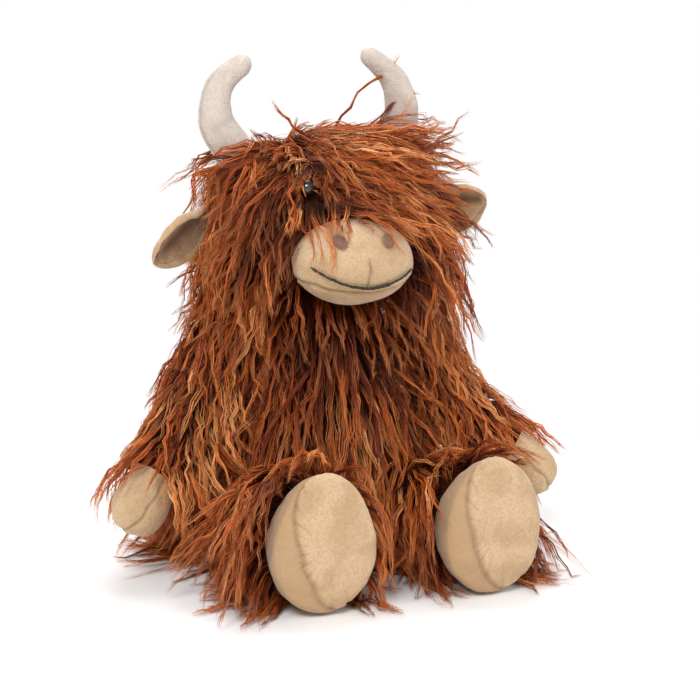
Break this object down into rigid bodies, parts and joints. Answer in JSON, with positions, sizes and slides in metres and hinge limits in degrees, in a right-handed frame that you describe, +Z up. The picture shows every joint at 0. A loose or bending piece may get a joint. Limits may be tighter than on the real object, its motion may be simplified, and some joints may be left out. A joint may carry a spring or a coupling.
{
  "type": "plush cow",
  "caption": "Sitting plush highland cow with a long shaggy coat, tan muzzle, hands and feet, curved stuffed horns and sewn limbs that turn at their seams.",
  "frame": {"origin": "middle of the flat seat, on the surface the toy sits on", "axes": "+Z up, the cow faces -Y, +X is the cow's own left"},
  "size_m": [0.323, 0.2683, 0.3501],
  "materials": {
    "coat_fur": "long wavy rust-brown pile in fine locks, dark at the roots",
    "tan_plush": "short tan plush with a soft nap and sewn seams",
    "horn_plush": "short greyish beige plush",
    "ear_lining": "short dark brown plush",
    "nostril_thread": "satin stitched brown thread",
    "smile_thread": "black stitching thread",
    "eye_plastic": "glossy near-black moulded plastic",
    "washer_plastic": "matt white moulded plastic",
    "fibre_fill": "white crimped polyester fibre",
    "pouch_cloth": "plain woven bag filled with plastic pellets"
  },
  "bodies": {
    "torso": {"torso_coat": "coat_fur", "torso_stuffing": "fibre_fill", "seat_panel": "coat_fur", "pellet_pouch": "pouch_cloth"},
    "neck": {"neck_sleeve": "coat_fur", "neck_stuffing": "fibre_fill"},
    "head": {"head_coat": "coat_fur", "head_stuffing": "fibre_fill", "muzzle_panel_left": "tan_plush", "muzzle_panel_right": "tan_plush", "chin_panel": "tan_plush", "muzzle_stuffing": "fibre_fill", "nostril_left": "nostril_thread", "nostril_right": "nostril_thread", "smile_stitch": "smile_thread", "eye_left": "eye_plastic", "eye_washer_left": "washer_plastic", "horn_left_cover": "horn_plush", "horn_left_stuffing": "fibre_fill", "eye_right": "eye_plastic", "eye_washer_right": "washer_plastic", "horn_right_cover": "horn_plush", "horn_right_stuffing": "fibre_fill"},
    "ear_left": {"ear_left_back": "tan_plush", "ear_left_lining": "ear_lining"},
    "arm_left": {"arm_left_sleeve": "coat_fur", "arm_left_stuffing": "fibre_fill"},
    "hand_left": {"hand_left_outer_panel": "tan_plush", "hand_left_inner_panel": "tan_plush", "hand_left_stuffing": "fibre_fill"},
    "leg_left": {"leg_left_sleeve": "coat_fur", "leg_left_stuffing": "fibre_fill"},
    "foot_left": {"foot_left_upper": "tan_plush", "foot_left_sole": "tan_plush", "foot_left_stuffing": "fibre_fill"},
    "ear_right": {"ear_right_back": "tan_plush", "ear_right_lining": "ear_lining"},
    "arm_right": {"arm_right_sleeve": "coat_fur", "arm_right_stuffing": "fibre_fill"},
    "hand_right": {"hand_right_outer_panel": "tan_plush", "hand_right_inner_panel": "tan_plush", "hand_right_stuffing": "fibre_fill"},
    "leg_right": {"leg_right_sleeve": "coat_fur", "leg_right_stuffing": "fibre_fill"},
    "foot_right": {"foot_right_upper": "tan_plush", "foot_right_sole": "tan_plush", "foot_right_stuffing": "fibre_fill"}
  },
  "joints": [
    {"name": "neck_turn", "type": "hinge", "parent": "torso", "child": "neck", "pos_m": [0, -0.006, 0.186], "axis": [0, 0, 1], "range_deg": [-35, 35], "stiffness_Nm_per_rad": 1.2},
    {"name": "neck_nod", "type": "hinge", "parent": "neck", "child": "head", "pos_m": [0, -0.006, 0.186], "axis": [1, 0, 0], "range_deg": [-16, 8], "stiffness_Nm_per_rad": 2},
    {"name": "ear_left_flop", "type": "hinge", "parent": "head", "child": "ear_left", "pos_m": [0.0894, -0.012, 0.238], "axis": [0.3746, 0.9272, 0], "range_deg": [-20, 20], "stiffness_Nm_per_rad": 0.03},
    {"name": "arm_left_swing", "type": "hinge", "parent": "torso", "child": "arm_left", "pos_m": [0.069, -0.006, 0.15], "axis": [-1, 0, 0], "range_deg": [-40, 80], "stiffness_Nm_per_rad": 0.25},
    {"name": "hand_left_fold", "type": "hinge", "parent": "arm_left", "child": "hand_left", "pos_m": [0.128, -0.053, 0.067], "axis": [-1, 0, 0], "range_deg": [-20, 20], "stiffness_Nm_per_rad": 0.05},
    {"name": "leg_left_raise", "type": "hinge", "parent": "torso", "child": "leg_left", "pos_m": [0.054, -0.078, 0.0425], "axis": [-1, 0, 0], "range_deg": [0, 30]},
    {"name": "foot_left_tip", "type": "hinge", "parent": "leg_left", "child": "foot_left", "pos_m": [0.062, -0.134, 0.0425], "axis": [-1, 0, 0], "range_deg": [0, 15], "stiffness_Nm_per_rad": 0.2},
    {"name": "ear_right_flop", "type": "hinge", "parent": "head", "child": "ear_right", "pos_m": [-0.0894, -0.012, 0.238], "axis": [-0.3746, 0.9272, 0], "range_deg": [0, 45], "stiffness_Nm_per_rad": 0.03},
    {"name": "arm_right_swing", "type": "hinge", "parent": "torso", "child": "arm_right", "pos_m": [-0.069, -0.006, 0.15], "axis": [-1, 0, 0], "range_deg": [-40, 80], "stiffness_Nm_per_rad": 0.25},
    {"name": "hand_right_fold", "type": "hinge", "parent": "arm_right", "child": "hand_right", "pos_m": [-0.128, -0.053, 0.067], "axis": [-1, 0, 0], "range_deg": [-20, 20], "stiffness_Nm_per_rad": 0.05},
    {"name": "leg_right_raise", "type": "hinge", "parent": "torso", "child": "leg_right", "pos_m": [-0.054, -0.078, 0.0425], "axis": [-1, 0, 0], "range_deg": [0, 30]},
    {"name": "foot_right_tip", "type": "hinge", "parent": "leg_right", "child": "foot_right", "pos_m": [-0.052, -0.134, 0.0425], "axis": [-1, 0, 0], "range_deg": [0, 15], "stiffness_Nm_per_rad": 0.2}
  ]
}
